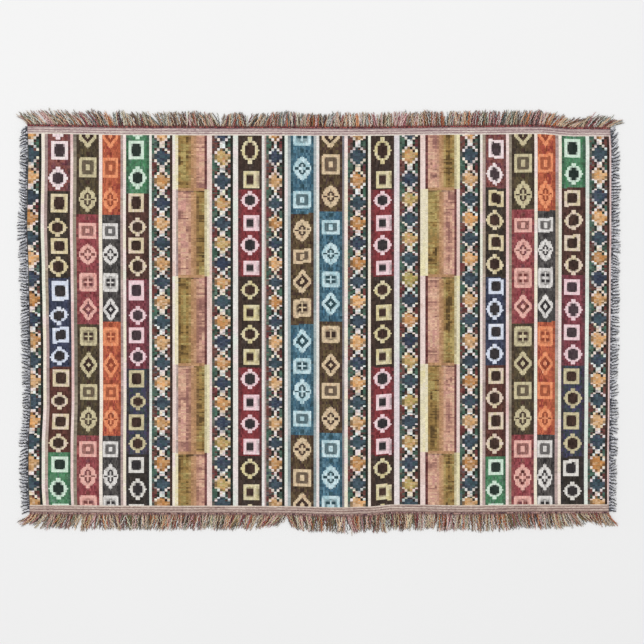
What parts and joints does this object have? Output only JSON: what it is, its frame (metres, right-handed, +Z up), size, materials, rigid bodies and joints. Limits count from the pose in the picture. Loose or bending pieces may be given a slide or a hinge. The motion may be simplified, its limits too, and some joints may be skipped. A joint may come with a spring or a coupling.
{
  "type": "woven throw blanket",
  "caption": "Thin flat woven throw with lengthwise stripes of small stepped diamonds and squares, a ribbed heading at each end and a yarn fringe on every edge.",
  "frame": {"origin": "under the middle of the laid blanket's outline, fringe included, on the surface that it lies on", "axes": "+X across the cloth along its longer side, +Y along the stripes from the near heading to the far one, +Z up through its thickness"},
  "size_m": [1.3758, 0.9648, 0.0068],
  "materials": {
    "patterned_cloth": "figured tapestry weave of many coloured yarns, matt",
    "end_fringe_yarn": "loose warp yarn in mixed earth colours, matt",
    "side_fringe_yarn": "loose weft yarn in black and white, matt"
  },
  "bodies": {
    "root": {"woven_cloth": "patterned_cloth", "fringe_far": "end_fringe_yarn", "fringe_near": "end_fringe_yarn", "fringe_left": "side_fringe_yarn", "fringe_right": "side_fringe_yarn"}
  },
  "joints": []
}
